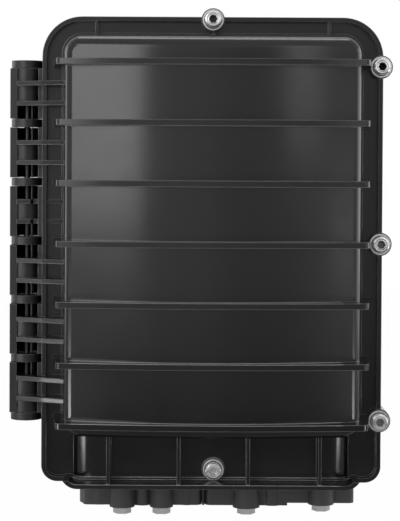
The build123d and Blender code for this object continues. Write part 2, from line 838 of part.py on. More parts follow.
with BuildPart() as gland_nuts:
    with BuildSketch(Plane.XY.offset(nut_low)):
        with Locations(*gland_places):
            RegularPolygon(gland_head_flats / 2, 6, major_radius=False)
            Circle(gland_bolt_radius + press_clearance, mode=Mode.SUBTRACT)
    extrude(amount=gland_nut_height)
save(gland_nuts.part, "gland_nuts")

# Plugs in the ports that hold no cable
with BuildPart() as port_plugs:
    for x, height, collar, bore in left_ports + right_ports:
        plug_low = (gland_step_low if x > gland_step_x else port_block_low) + plug_recess
        with BuildSketch(Plane.XY.offset(plug_low)):
            with Locations((x, -height)):
                Circle(bore - plug_clearance)
        extrude(amount=seal_high - plug_low)
        with BuildSketch(Plane.XY.offset(plug_low)):
            with Locations((x, -height)):
                Rectangle(bore, plug_grip_width)
        extrude(amount=-plug_grip_height)
save(port_plugs.part, "port_plugs")

# Organiser: a plate on the standoffs that carries everything inside
tilt = math.radians(tray_recline)
tray_gap = tray_pitch * math.cos(tilt) - tray_step * math.sin(tilt)
nub_height = tray_gap - tray_rim - tray_floor / 2 - seal_gap
with BuildPart() as chassis_plate:
    with BuildSketch(front_plane(standoff_front)):
        with Locations((0, (chassis_low + chassis_high) / 2)):
            Rectangle(2 * chassis_half_width, chassis_high - chassis_low)
        with Locations(*mount_places):
            Circle(screw_radius + press_clearance, mode=Mode.SUBTRACT)
        with Locations(*[(s * chassis_half_width / 3, z) for s in (-1, 1) for z in slot_levels]):
            SlotOverall(slot_length, slot_width, mode=Mode.SUBTRACT)
    extrude(amount=chassis_thickness)
    with BuildSketch(front_plane(standoff_front)):
        upturn_x = chassis_half_width - chassis_thickness / 2
        with Locations(*[(s * upturn_x, (chassis_low + chassis_high) / 2) for s in (-1, 1)]):
            Rectangle(chassis_thickness, chassis_high - chassis_low)
    extrude(amount=chassis_thickness + chassis_upturn)
    # Posts that the rear tray leans on
    for along in nub_places:
        back = tray_axis_height - along * math.sin(tilt) - tray_floor / 2 - nub_height - 2 * seal_gap
        with BuildSketch(front_plane(chassis_front)):
            with Locations((-nub_x, tray_axis_z + along), (nub_x, tray_axis_z + along)):
                Circle(nub_radius)
        extrude(amount=back - chassis_front)
save(chassis_plate.part, "chassis_plate")


def screws(places, seat, head, shank, head_height, length, name):
    """Round headed screws with a cross slot, facing away from the wall."""
    cross_length = 1.2 * head
    cross_width = head / 4
    with BuildPart() as row:
        with BuildSketch(front_plane(seat)):
            with Locations(*places):
                Circle(head)
        extrude(amount=head_height)
        fillet(row.faces().group_by(Axis.Y)[0].edges(), head_height / 3)
        with BuildSketch(front_plane(seat)):
            with Locations(*places):
                Circle(shank)
        extrude(amount=-length)
        with BuildSketch(front_plane(seat + head_height)):
            with Locations(*places):
                Rectangle(cross_length, cross_width)
                Rectangle(cross_width, cross_length)
        extrude(amount=-head_height / 2, mode=Mode.SUBTRACT)
    save(row.part, name)


screws(
    mount_places, chassis_front, screw_head_radius, screw_radius - press_clearance,
    screw_head_height, screw_length, "chassis_screws",
)

# Bracket with two cheeks for the tray pivots
cheek_inside = tray_half_width + bracket_gap
pivots = [(tray_axis_height + tray_pitch * k, tray_axis_z - tray_step * k) for k in range(tray_count)]
with BuildPart() as tray_bracket:
    with BuildSketch(front_plane(chassis_front)):
        with Locations((0, (bracket_low + bracket_high) / 2)):
            Rectangle(2 * (cheek_inside + bracket_cheek), bracket_high - bracket_low)
        with Locations(*bracket_screws):
            Circle(screw_radius + press_clearance, mode=Mode.SUBTRACT)
    extrude(amount=bracket_plate)
    cheek_planes = [Plane.YZ.offset(-cheek_inside - bracket_cheek), Plane.YZ.offset(cheek_inside)]
    with BuildSketch(*cheek_planes):
        with BuildLine():
            Polyline(
                (-chassis_front, bracket_low),
                (-bracket_front, bracket_low),
                (-bracket_front, pivots[-1][1] + 2 * tray_lug_radius),
                (-pivots[0][0] - 2 * tray_lug_radius, pivots[0][1] + 2 * tray_lug_radius),
                (-chassis_front, bracket_high),
                close=True,
            )
        make_face()
        with Locations(*[(-height, z) for height, z in pivots]):
            Circle(tray_pin_radius + tray_pin_clearance, mode=Mode.SUBTRACT)
    extrude(amount=bracket_cheek)
save(tray_bracket.part, "tray_bracket")

screws(
    bracket_screws, chassis_front + bracket_plate, screw_head_radius, screw_radius - press_clearance,
    screw_head_height, bracket_plate, "tray_bracket_screws",
)


def tray_plane(k):
    """Plane of one tray, its origin on the tray's pivot axis."""
    height, z = pivots[k]
    return Plane(
        origin=(0, -height, z),
        x_dir=(1, 0, 0),
        z_dir=(0, -math.cos(tilt), math.sin(tilt)),
    )


def tray_outline(inset):
    """Outline of a tray, in the sketch that is open."""
    with Locations((0, (tray_start + tray_end) / 2)):
        RectangleRounded(
            2 * (tray_half_width - inset),
            tray_end - tray_start - 2 * inset,
            tray_corner - inset,
        )


# Splice trays, their splice holders and the lid of the front tray
holder_middle = (mandrel_low + mandrel_high) / 2
ridge = (holder_width - holder_slots * holder_slot_width) / (holder_slots + 1)
for k in range(tray_count):
    level = tray_plane(k)
    with BuildPart() as splice_tray:
        with BuildSketch(level.offset(-tray_floor / 2)):
            tray_outline(0)
        extrude(amount=tray_floor)
        with BuildSketch(level.offset(tray_floor / 2)) as rim:
            tray_outline(0)
            with Locations((0, (tray_start + tray_end) / 2)):
                RectangleRounded(
                    2 * (tray_half_width - tray_wall),
                    tray_end - tray_start - 2 * tray_wall,
                    tray_corner - tray_wall,
                    mode=Mode.SUBTRACT,
                )
            # Entries for the fibres in the lower rim
            with Locations((-tray_entry_x, tray_start), (tray_entry_x, tray_start)):
                Rectangle(tray_entry_width, 4 * tray_wall, mode=Mode.SUBTRACT)
        extrude(amount=tray_rim - tray_floor / 2)
        # Two round walls that the fibres are coiled on
        with BuildSketch(level.offset(tray_floor / 2)):
            with Locations((0, mandrel_low), (0, mandrel_high)):
                Circle(mandrel_radius)
                Circle(mandrel_radius - tray_wall, mode=Mode.SUBTRACT)
                Rectangle(mandrel_gap, 3 * mandrel_radius, mode=Mode.SUBTRACT)
        extrude(amount=mandrel_height - tray_floor / 2)
        # Tabs that keep the fibres in
        with BuildSketch(level.offset(tray_rim - tab_thickness)):
            tab_x = tray_half_width - tab_length / 2
            for along in (mandrel_low, holder_middle, mandrel_high):
                with Locations((-tab_x, along), (tab_x, along)):
                    Rectangle(tab_length, tab_width)
            with Locations((0, tray_end - tab_length / 2), (0, tray_start + tab_length / 2)):
                Rectangle(tab_width, tab_length)
        extrude(amount=tab_thickness)
        # Nubs on the back that keep the next tray at its distance
        with BuildSketch(level.offset(-tray_floor / 2)):
            with Locations(*[(s * nub_x, along) for s in (-1, 1) for along in nub_places]):
                Circle(nub_radius)
        extrude(amount=-nub_height)
        # Lugs and pivot pins
        height, z = pivots[k]
        for side in (-1, 1):
            lug_start = side * (tray_half_width - tray_lug_width)
            with BuildSketch(Plane.YZ.offset(lug_start)):
                with Locations(Location((-height, z), -tray_recline)):
                    Circle(tray_lug_radius)
                    Rectangle(
                        tray_lug_radius + tray_floor / 2,
                        tray_start + tray_corner + tray_lug_overlap,
                        align=(Align.MAX, Align.MIN),
                    )
            extrude(amount=side * tray_lug_width)
            with BuildSketch(Plane.YZ.offset(lug_start)):
                with Locations((-height, z)):
                    Circle(tray_pin_radius)
            extrude(amount=side * (tray_lug_width + bracket_gap + bracket_cheek + tray_pin_radius / 4))
    save(splice_tray.part, f"splice_tray_{k + 1}")

    with BuildPart() as splice_holder:
        with BuildSketch(level.offset(tray_floor / 2)):
            with Locations((0, holder_middle)):
                Rectangle(holder_width, holder_length)
        extrude(amount=holder_base)
        with BuildSketch(level.offset(tray_floor / 2 + holder_base)):
            row_step = (holder_length - holder_ridge_length) / 2
            for along in (holder_middle - row_step, holder_middle + row_step):
                with Locations((0, along)):
                    with GridLocations(ridge + holder_slot_width, 1, holder_slots + 1, 1):
                        Rectangle(ridge, holder_ridge_length)
        extrude(amount=holder_height - holder_base)
    save(splice_holder.part, f"splice_holder_{k + 1}")

with BuildPart() as tray_lid:
    lid_plane = tray_plane(tray_count - 1).offset(tray_rim)
    with BuildSketch(lid_plane):
        tray_outline(0)
        with Locations(*[(s * tray_half_width, along) for s in (-1, 1) for along in nub_places]):
            Rectangle(2 * (tray_wall + lid_clearance), lid_leg_length)
    extrude(amount=lid_thickness)
    with BuildSketch(lid_plane):
        leg_x = tray_half_width + lid_clearance + lid_leg_thickness / 2
        with Locations(*[(s * leg_x, along) for s in (-1, 1) for along in nub_places]):
            Rectangle(lid_leg_thickness, lid_leg_length)
    extrude(amount=-tray_rim)
save(tray_lid.part, "tray_lid")

# Rail with the clamps for the cables
rail_front = chassis_front + rail_thickness
clamp_screw_places = [(x + s * clamp_screw_offset, rail_z) for x in clamp_positions for s in (-1, 1)]
with BuildPart() as clamp_rail:
    with BuildSketch(front_plane(chassis_front)):
        with Locations((0, rail_z)):
            Rectangle(2 * rail_half_length, rail_depth)
    extrude(amount=rail_thickness)
    with BuildSketch(front_plane(rail_front)):
        with Locations(*clamp_screw_places):
            Circle(clamp_screw_radius + press_clearance)
    extrude(amount=-rail_thickness, mode=Mode.SUBTRACT)
save(clamp_rail.part, "clamp_rail")

with BuildPart() as cable_clamps:
    with BuildSketch(Plane.XY.offset(rail_z - clamp_length / 2)):
        with Locations(*[(x, -rail_front) for x in clamp_positions]):
            Circle(clamp_arch_radius + clamp_thickness)
            Rectangle(clamp_width, clamp_thickness, align=(Align.CENTER, Align.MAX))
            Circle(clamp_arch_radius, mode=Mode.SUBTRACT)
            Rectangle(clamp_width, 2 * clamp_width, align=(Align.CENTER, Align.MIN), mode=Mode.SUBTRACT)
    extrude(amount=clamp_length)
    with BuildSketch(front_plane(rail_front)):
        with Locations(*clamp_screw_places):
            Circle(clamp_screw_radius + press_clearance)
    extrude(amount=clamp_thickness, mode=Mode.SUBTRACT)
save(cable_clamps.part, "cable_clamps")

screws(
    clamp_screw_places, rail_front + clamp_thickness, clamp_head_radius, clamp_screw_radius,
    clamp_head_height, clamp_thickness + rail_thickness, "clamp_screws",
)

# Anchors for the strength members, and the bonding bar
with BuildPart() as strength_anchors:
    with BuildSketch(front_plane(chassis_front)):
        with Locations(*[(x, anchor_z) for x in anchor_positions]):
            Rectangle(anchor_size, anchor_size)
    extrude(amount=anchor_height)
    with BuildSketch(Plane.XY.offset(anchor_z - anchor_size)):
        with Locations(*[(x, -chassis_front - anchor_height / 3) for x in anchor_positions]):
            Circle(anchor_bore)
    extrude(amount=2 * anchor_size, mode=Mode.SUBTRACT)
    with BuildSketch(front_plane(chassis_front + anchor_height)):
        with Locations(*[(x, anchor_z) for x in anchor_positions]):
            Circle(screw_radius)
    extrude(amount=-anchor_height / 3, mode=Mode.SUBTRACT)
save(strength_anchors.part, "strength_anchors")

screws(
    [(x, anchor_z) for x in anchor_positions], chassis_front + anchor_height,
    anchor_size / 2 - screw_edge, screw_radius - press_clearance,
    screw_head_height, anchor_height / 3, "anchor_screws",
)

with BuildPart() as bonding_bar:
    with BuildSketch(front_plane(chassis_front)):
        with Locations((0, bar_z)):
            Rectangle(2 * bar_half_length, bar_width)
        with Locations(*[(x, bar_z) for x in bar_screws]):
            Circle(screw_radius, mode=Mode.SUBTRACT)
    extrude(amount=bar_thickness)
save(bonding_bar.part, "bonding_bar")

screws(
    [(x, bar_z) for x in bar_screws], chassis_front + bar_thickness, bar_width / 2 - screw_edge,
    screw_radius - press_clearance, screw_head_height, bar_thickness, "bonding_screws",
)

# Open guides for the fibres, in both side channels
with BuildPart() as fibre_guides:
    guide_planes = [Plane.XY.offset(z - guide_length / 2) for z in guide_positions]
    with BuildSketch(*guide_planes):
        with Locations(*[(s * guide_x, -chassis_front - guide_height / 2) for s in (-1, 1)]):
            Rectangle(guide_width, guide_height)
            Rectangle(guide_width - 2 * guide_wall, guide_height - 2 * guide_wall, mode=Mode.SUBTRACT)
            Rectangle(guide_gap, guide_height, align=(Align.CENTER, Align.MAX), mode=Mode.SUBTRACT)
    extrude(amount=guide_length)
save(fibre_guides.part, "fibre_guides")
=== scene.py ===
import itertools
import math

import bpy
from bpy.props import FloatProperty, FloatVectorProperty, IntProperty, PointerProperty
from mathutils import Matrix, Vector


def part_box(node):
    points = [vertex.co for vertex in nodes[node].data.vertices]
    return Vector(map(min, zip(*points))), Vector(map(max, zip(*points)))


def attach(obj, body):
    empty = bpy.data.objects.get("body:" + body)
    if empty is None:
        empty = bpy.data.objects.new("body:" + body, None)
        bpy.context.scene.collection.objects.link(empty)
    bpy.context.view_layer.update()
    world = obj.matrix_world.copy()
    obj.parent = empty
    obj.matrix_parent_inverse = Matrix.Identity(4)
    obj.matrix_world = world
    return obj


bl_info = {
    "name": "Fibre splice closure",
    "version": (1, 0, 0),
    "blender": (4, 5, 0),
    "location": "View3D > Sidebar > Closure",
    "description": "Finishes the parts of a ribbed fibre splice closure and sets its studio",
    "category": "Object",
}

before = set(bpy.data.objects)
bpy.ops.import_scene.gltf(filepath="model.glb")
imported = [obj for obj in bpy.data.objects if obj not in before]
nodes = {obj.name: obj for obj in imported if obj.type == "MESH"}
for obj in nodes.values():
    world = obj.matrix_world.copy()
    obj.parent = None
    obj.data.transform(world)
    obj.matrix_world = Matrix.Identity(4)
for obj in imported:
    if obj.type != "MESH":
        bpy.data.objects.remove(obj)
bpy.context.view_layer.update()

MILLIMETRE = 0.001

# Bodies of the cover bolts, each with how much painted shade darkens its socket
BOLT_BODIES = {
    "bolt_top": 0.95,
    "bolt_side_upper": 1.0,
    "bolt_side_middle": 0.8,
    "bolt_side_lower": 0.7,
    "bolt_port_end": 0.25,
}
# How far from a bolt's axis, and from what depth, its socket is painted in shade
SOCKET_REACH = 4.0 * MILLIMETRE
SOCKET_EDGE = 0.05 * MILLIMETRE
# Radius up to which a washer is painted with the shadow of the bolt's head
HEAD_SHADOW_RADIUS = 7.4 * MILLIMETRE
# Grip ridges: where they start below a head's top, and their size
RIDGE_START = 1.2 * MILLIMETRE
RIDGE_LENGTH = 5.6 * MILLIMETRE
RIDGE_WIDTH = 0.7 * MILLIMETRE

# Left of this X, at the hinge, the shells are more matt
HINGE_MATT_FROM = -0.135
# Dust and painted highlight on edges: below which height, in front of which Y, and how far to each
# side of which X
DUST_AND_HIGHLIGHT_FROM = 0.03
DUST_AND_HIGHLIGHT_FRONT = -0.0945
DUST_AND_HIGHLIGHT_MIDDLE = -0.0045
DUST_AND_HIGHLIGHT_REACH = 0.109

# Web between the port plates, and the dark strips beside it that are painted shade
PORT_WEB = 2.0 * MILLIMETRE
STRIP_PLAY = 0.04 * MILLIMETRE
STRIP_FRONT = -0.059
STRIP_BACK = -0.026
STRIP_LIFT = 0.8 * MILLIMETRE
STRIP_DROP = 0.2 * MILLIMETRE

# Rounding of edges: trays, plugs and rubber; lid and clamps; metal and splice holders
SOFT_EDGE = 0.5 * MILLIMETRE
FINE_EDGE = 0.4 * MILLIMETRE
SHARP_EDGE = 0.3 * MILLIMETRE
# Blobs to the metre of the mould's grain, and how deep the reliefs are
GRAIN = 1300.0
GRAIN_DEPTH = 0.02 * MILLIMETRE
RING_DEPTH = 0.03 * MILLIMETRE
STEP_DEPTH = 0.1 * MILLIMETRE
PORE_DEPTH = 0.04 * MILLIMETRE

WHITE = (1.0, 1.0, 1.0, 1.0)
FLOOR_COLOUR = (0.8, 0.8, 0.8, 1.0)
# Pale colour of low edges: partly dust, partly painted highlight
DUST_AND_HIGHLIGHT_COLOUR = (0.7, 0.7, 0.71, 1.0)
# Painted shade in the bolt sockets
SOCKET_SHADE_COLOUR = (0.012, 0.012, 0.013, 1.0)
# Painted shadow of a bolt's head on its washer
HEAD_SHADOW_COLOUR = (0.03, 0.03, 0.032, 1.0)
ROD_COLOUR = (0.04, 0.04, 0.042)
CLAMP_COLOUR = (0.05, 0.05, 0.055)
LID_COLOUR = (0.8, 0.86, 0.9)
GASKET_COLOUR = (0.045, 0.045, 0.05)
SEAL_COLOUR = (0.07, 0.07, 0.075)
# Dark strips in the port slits, as painted shade
SHADE_STRIP_COLOUR = (0.012, 0.012, 0.012)

# Camera: its place beside and above the middle, its tilt in degrees, and the photo's framing
CAMERA_X = -0.0125
CAMERA_Z = 0.0771
CAMERA_DOWN = 1.18
CAMERA_ROLL = -0.3
CAMERA_SHIFT = (3.0 / 521.0, -70.0 / 521.0)
# Surround in reflections: from which to which height its lower part fades, and to what
ROOM_FLOOR = (-0.16, -0.08)
ROOM_LOW = 0.1
# Dark screen before the object: its direction in X and Y, and where its edge fades
SCREEN_WAY = (0.225, -0.974)
SCREEN_EDGE = (0.965, 0.995)
# How much the sides count as behind, and half the width of the change to white there
SIDES_ALSO = 0.6
WHITE_BLUR = 0.08
# Floor: how far it reaches to the sides and back, and its front edge
FLOOR_SIDE = 3.0
FLOOR_FRONT = -0.5
# Share of the floor that shows plain white, so that only a faint shadow is left
FLOOR_WHITE = 0.985
# What the lamps face
LAMP_AIM = (0.0, -0.14, 0.0)
# Lamps: name, degrees to the right and up, distance, size, share of the key's power
LAMPS = (
    ("key_left", -30.0, 14.0, 1.8, (0.72, 1.0), 1.0),
    ("above", -8.0, 104.0, 1.3, (1.2, 0.4), 0.75),
    ("fill_right", 25.0, 15.0, 1.8, (0.3, 0.75), 0.12),
    ("low_right", 37.0, -2.0, 1.8, (0.25, 0.2), 0.018),
    ("rim_left", -116.0, 4.0, 1.8, (1.0, 1.3), 0.8),
    ("rim_right", 106.0, 4.0, 1.8, (1.8, 1.3), 1.35),
    ("foot_left", -57.0, -15.0, 1.8, (0.85, 0.25), 1.35),
    ("foot_right", 61.0, -15.5, 1.8, (1.05, 0.25), 1.35),
)


def node_middle(name):
    """Middle of a CAD node's box, in metres."""
    low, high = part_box(name)
    return (Vector(low) + Vector(high)) / 2


# Materials: sums on nodes, the node trees, and the finishes


class Wire:
    """One output of a node, on which sums can be written."""

    def __init__(self, finish, socket):
        self.finish = finish
        self.socket = socket

    def sum(self, operation, first, second):
        settings = {"operation": operation}
        return self.finish.value("ShaderNodeMath", settings, {0: first, 1: second})

    def __add__(self, other):
        return self.sum("ADD", self, other)

    __radd__ = __add__

    def __sub__(self, other):
        return self.sum("SUBTRACT", self, other)

    def __rsub__(self, other):
        return self.sum("SUBTRACT", other, self)

    def __mul__(self, other):
        return self.sum("MULTIPLY", self, other)

    __rmul__ = __mul__

    def __pow__(self, other):
        return self.sum("POWER", self, other)

    def larger(self, other):
        return self.sum("MAXIMUM", self, other)

    def absolute(self):
        return self.finish.value("ShaderNodeMath", {"operation": "ABSOLUTE"}, {0: self})

    def limited(self):
        """The value held between 0 and 1."""
        settings = {"operation": "ADD", "use_clamp": True}
        return self.finish.value("ShaderNodeMath", settings, {0: self, 1: 0.0})

    def over(self, limit, slope):
        """0 up to a limit, and from there rising to 1 at a slope."""
        return ((self - limit) * slope).limited()

    def under(self, limit, slope):
        """The same below a limit."""
        return ((limit - self) * slope).limited()


class Finish:
    """A material, or the world, whose nodes are added one by one."""

    def __init__(self, owner):
        self.owner = owner
        owner.use_nodes = True
        self.tree = owner.node_tree
        self.tree.nodes.clear()

    def node(self, kind, settings=None, inputs=None):
        """Adds a node, sets it up first and then fills or links its sockets."""
        made = self.tree.nodes.new(kind)
        for key, setting in (settings or {}).items():
            setattr(made, key, setting)
        for key, given in (inputs or {}).items():
            if isinstance(given, Wire):
                self.tree.links.new(given.socket, made.inputs[key])
            else:
                made.inputs[key].default_value = given
        return made

    def value(self, kind, settings=None, inputs=None, output=0):
        """The same, and gives one of the node's outputs to go on with."""
        return Wire(self, self.node(kind, settings, inputs).outputs[output])

    def place(self, centre=(0.0, 0.0, 0.0)):
        """Object coordinates, counted from a centre."""
        coordinates = self.value("ShaderNodeTexCoord", output="Object")
        moved = tuple(-part for part in centre)
        return self.value("ShaderNodeMapping", {}, {"Vector": coordinates, "Location": moved})

    def axes(self, vector):
        """The three parts of a vector."""
        parts = self.node("ShaderNodeSeparateXYZ", {}, {0: vector})
        return [Wire(self, socket) for socket in parts.outputs]

    def noise(self, place, scale, detail=2.0, roughness=0.5):
        """Cloudy pattern with so many blobs to the metre."""
        inputs = {"Vector": place, "Scale": scale, "Detail": detail, "Roughness": roughness}
        return self.value("ShaderNodeTexNoise", {}, inputs)

    def mix(self, factor, first, second):
        """Colour between two colours."""
        inputs = {0: factor, 6: first, 7: second}
        return self.value("ShaderNodeMix", {"data_type": "RGBA"}, inputs, 2)

    def between(self, factor, first, second):
        """Number between two numbers."""
        return self.value("ShaderNodeMix", {}, {0: factor, 2: first, 3: second})

    def step(self, value, low, high, before, after):
        """Goes softly from one number to another where a value passes from low to high."""
        inputs = {"Value": value, "From Min": low, "From Max": high}
        inputs.update({"To Min": before, "To Max": after})
        return self.value("ShaderNodeMapRange", {"interpolation_type": "SMOOTHSTEP"}, inputs)

    def bump(self, strength, depth, height, normal):
        """Normal with a relief that is so deep."""
        inputs = {"Strength": strength, "Distance": depth, "Height": height, "Normal": normal}
        return self.value("ShaderNodeBump", {}, inputs)

    def edges(self, radius, samples=6):
        """Normal that rounds the edges, and how near an edge is."""
        rounded = self.value("ShaderNodeBevel", {"samples": samples}, {"Radius": radius})
        flat = self.value("ShaderNodeNewGeometry", output="Normal")
        settings = {"operation": "DOT_PRODUCT"}
        same = self.value("ShaderNodeVectorMath", settings, {0: rounded, 1: flat}, "Value")
        return rounded, 1 - same

    def close(self, inputs):
        """Ends the material in one shader with these sockets."""
        shader = self.value("ShaderNodeBsdfPrincipled", {}, inputs)
        self.node("ShaderNodeOutputMaterial", {}, {"Surface": shader})
        return self.owner


def solid(colour):
    """Colour with full alpha."""
    return tuple(colour[:3]) + (1.0,)


def lighter(colour, amount):
    """Colour moved towards white by an amount."""
    return tuple(part + (1 - part) * amount for part in colour[:3]) + (1.0,)


def darker(colour, share):
    """Colour times a share."""
    return tuple(part * share for part in colour[:3]) + (1.0,)


def reach(across, up):
    """Distance that two distances at right angles make together."""
    return (across * across + up * up) ** 0.5


def moulded_plastic(name, colour, roughness, radius, edge_wear_and_highlight=0.3, dust_highlight_matt_hinge=False):
    """Spark eroded plastic: fine grain, faint flow marks, edges lightened partly as wear and
    partly as painted highlight, and perhaps pale low edges that are partly dust and partly painted
    highlight.
    """
    finish = Finish(bpy.data.materials.new(name))
    place = finish.place()
    clouds = finish.noise(place, 16.0, 3.0)
    specks = finish.noise(place, GRAIN, 2.0, 0.6)
    smears = finish.noise(place, 60.0, 4.0, 0.65)
    rounded, edge = finish.edges(radius)
    # Edges lightened in colour: partly wear, partly painted highlight on convex and root edges
    wear_and_highlight = (edge * 10.0 * (0.3 + smears)).limited()
    dull = (clouds * 0.6 + specks * 0.25).limited()
    base = finish.mix(dull, solid(colour), lighter(colour, 0.006))
    base = finish.mix(wear_and_highlight * 0.8, base, lighter(colour, edge_wear_and_highlight))
    rough = roughness + (clouds - 0.5) * 0.12 + (smears - 0.5) * 0.08 - wear_and_highlight * 0.06
    if dust_highlight_matt_hinge:
        x, y, z = finish.axes(place)
        rough = rough + x.under(HINGE_MATT_FROM, 200.0) * 0.24
        # Pale low, front, upward-facing edges: partly dust, partly painted highlight
        low = z.under(DUST_AND_HIGHLIGHT_FROM, 8.0)
        upward = finish.axes(rounded)[2].over(0.08, 5.0)
        front = y.under(DUST_AND_HIGHLIGHT_FRONT, 600.0)
        inner = (x - DUST_AND_HIGHLIGHT_MIDDLE).absolute().under(DUST_AND_HIGHLIGHT_REACH, 300.0)
        dust_and_highlight = (edge * 40.0).limited() * upward * low * front * inner
        base = finish.mix(dust_and_highlight * (0.6 + smears).limited(), base, DUST_AND_HIGHLIGHT_COLOUR)
    normal = finish.bump(0.35, GRAIN_DEPTH, specks + smears * 0.3, rounded)
    return finish.close({"Base Color": base, "Roughness": rough, "Normal": normal, "IOR": 1.5})


def turned_metal(
    name, colour, roughness, centre=(0.0, 0.0, 0.0), axis="Y", rings=2600.0,
    socket_shade=0.0, depth=0.0, heads=(), sheen=0.25,
):
    """Bright metal with rings round its axis and handling marks.

    socket_shade: how much painted shade darkens the socket of a bolt, whose head ends at depth
    before its centre.
    heads: middles of the bolts round which a washer gets a painted shadow of the head.
    """
    finish = Finish(bpy.data.materials.new(name))
    place = finish.place(centre)
    turning = {"wave_type": "RINGS", "rings_direction": axis}
    inputs = {"Vector": place, "Scale": rings, "Distortion": 0.6, "Detail": 2.0}
    ringed = finish.value("ShaderNodeTexWave", turning, inputs, 1)
    inputs = {"Vector": place, "Scale": rings / 12.0, "Distortion": 1.2, "Detail": 2.0}
    steps = finish.value("ShaderNodeTexWave", turning, inputs, 1)
    marks = finish.noise(place, 700.0, 5.0, 0.7)
    blotches = finish.noise(place, 120.0, 3.0)
    rounded, edge = finish.edges(SHARP_EDGE, 4)
    shine = (marks * 0.5 + blotches * 0.5 + edge).limited()
    base = finish.mix(shine, darker(colour, 0.82), lighter(colour, sheen))
    rough = roughness + (blotches - 0.5) * 0.14 + (marks - 0.5) * 0.1
    # Painted shade: the socket of a bolt darkened in colour
    if socket_shade:
        x, y, z = finish.axes(place)
        middle = reach(x, z).under(SOCKET_REACH, 5000.0)
        socket_shade_mask = middle * (y + depth).over(SOCKET_EDGE, 5000.0) * socket_shade
        base = finish.mix(socket_shade_mask, base, SOCKET_SHADE_COLOUR)
        rough = rough + socket_shade_mask * 0.3
    # Painted shadow: the washer darkened round each head
    for head in heads:
        x, y, z = finish.axes(place)
        head_shadow = reach(x - head[0], z - head[2]).under(HEAD_SHADOW_RADIUS, 3000.0)
        base = finish.mix(head_shadow, base, HEAD_SHADOW_COLOUR)
    stepped = finish.bump(0.8, STEP_DEPTH, steps + blotches, rounded)
    normal = finish.bump(0.12, RING_DEPTH, ringed + marks * 0.6, stepped)
    inputs = {"Base Color": base, "Metallic": 1.0, "Roughness": rough, "Normal": normal}
    return finish.close(inputs)


def rolled_metal(name, colour, roughness):
    """Sheet metal with a grain along its length."""
    finish = Finish(bpy.data.materials.new(name))
    coordinates = finish.value("ShaderNodeTexCoord", output="Object")
    inputs = {"Vector": coordinates, "Scale": (1.0, 1.0, 0.04)}
    stretched = finish.value("ShaderNodeMapping", {}, inputs)
    grain = finish.noise(stretched, 1900.0, 3.0, 0.6)
    stains = finish.noise(finish.place(), 35.0, 4.0)
    rounded, edge = finish.edges(SHARP_EDGE, 4)
    shine = (grain * 0.6 + stains * 0.3 + edge).limited()
    base = finish.mix(shine, darker(colour, 0.8), lighter(colour, 0.2))
    rough = roughness + (stains - 0.5) * 0.15 + (grain - 0.5) * 0.12
    normal = finish.bump(0.1, RING_DEPTH, grain, rounded)
    inputs = {"Base Color": base, "Metallic": 1.0, "Roughness": rough, "Normal": normal}
    return finish.close(inputs)


def soft_rubber(name, colour):
    """Matt rubber with a powdery bloom."""
    finish = Finish(bpy.data.materials.new(name))
    place = finish.place()
    bloom = finish.noise(place, 45.0, 4.0, 0.6)
    pores = finish.noise(place, 1500.0, 2.0)
    rounded, edge = finish.edges(SOFT_EDGE, 4)
    base = finish.mix((bloom * 0.7 + edge).limited(), solid(colour), lighter(colour, 0.05))
    normal = finish.bump(0.25, PORE_DEPTH, pores + bloom * 0.4, rounded)
    rough = 0.72 + (bloom - 0.5) * 0.2
    return finish.close({"Base Color": base, "Roughness": rough, "Normal": normal})


def clear_plastic(name, colour):
    """Clear lid that shows the tray through it."""
    finish = Finish(bpy.data.materials.new(name))
    place = finish.place()
    haze = finish.noise(place, 30.0, 3.0)
    rounded, edge = finish.edges(FINE_EDGE, 4)
    alpha = (0.2 + edge * 1.4 + (haze - 0.5) * 0.06).limited()
    base = finish.mix(haze, solid(colour), lighter(colour, 0.4))
    rough = 0.1 + haze * 0.08
    inputs = {"Base Color": base, "Roughness": rough, "Alpha": alpha, "Normal": rounded}
    return finish.close(inputs)


def dress(names, material):
    """Gives every material slot of these CAD nodes one material."""
    for name in names:
        slots = nodes[name].material_slots
        for slot in slots:
            slot.material = material
        if not slots:
            nodes[name].data.materials.append(material)


# Settings that a user would change


class ShellSettings(bpy.types.PropertyGroup):
    """Finish of the two shells."""

    colour: FloatVectorProperty(
        name="Shell colour", description="Colour of the moulded plastic", subtype="COLOR",
        size=3, min=0.0, max=1.0, default=(0.007, 0.007, 0.0074),
    )
    roughness: FloatProperty(
        name="Roughness", description="How matt the shells are", default=0.18, min=0.0, max=1.0,
    )
    edge_radius: FloatProperty(
        name="Edge radius", description="Rounding of the moulded edges", default=0.0008,
        unit="LENGTH", precision=4,
    )


class HardwareSettings(bpy.types.PropertyGroup):
    """Finish of the screws, bolts and inserts."""

    steel: FloatVectorProperty(
        name="Steel colour", description="Colour of the bolts", subtype="COLOR",
        size=3, min=0.0, max=1.0, default=(0.72, 0.72, 0.73),
    )
    brass: FloatVectorProperty(
        name="Brass colour", description="Colour of the inserts and bars", subtype="COLOR",
        size=3, min=0.0, max=1.0, default=(0.66, 0.48, 0.2),
    )
    ridges: IntProperty(
        name="Grip ridges", description="Ridges round the head of a cover bolt",
        default=36, min=8, max=80,
    )
    ridge_height: FloatProperty(
        name="Ridge height", description="Height of a ridge over the head", default=0.0003,
        unit="LENGTH", precision=5,
    )


class OrganiserSettings(bpy.types.PropertyGroup):
    """Finish of what the closure holds."""

    tray: FloatVectorProperty(
        name="Tray colour", description="Colour of the splice trays", subtype="COLOR",
        size=3, min=0.0, max=1.0, default=(0.5, 0.51, 0.52),
    )
    holder: FloatVectorProperty(
        name="Holder colour", description="Colour of the splice holders", subtype="COLOR",
        size=3, min=0.0, max=1.0, default=(0.12, 0.2, 0.32),
    )
    chassis: FloatVectorProperty(
        name="Chassis colour", description="Colour of the chassis sheet", subtype="COLOR",
        size=3, min=0.0, max=1.0, default=(0.72, 0.73, 0.74),
    )


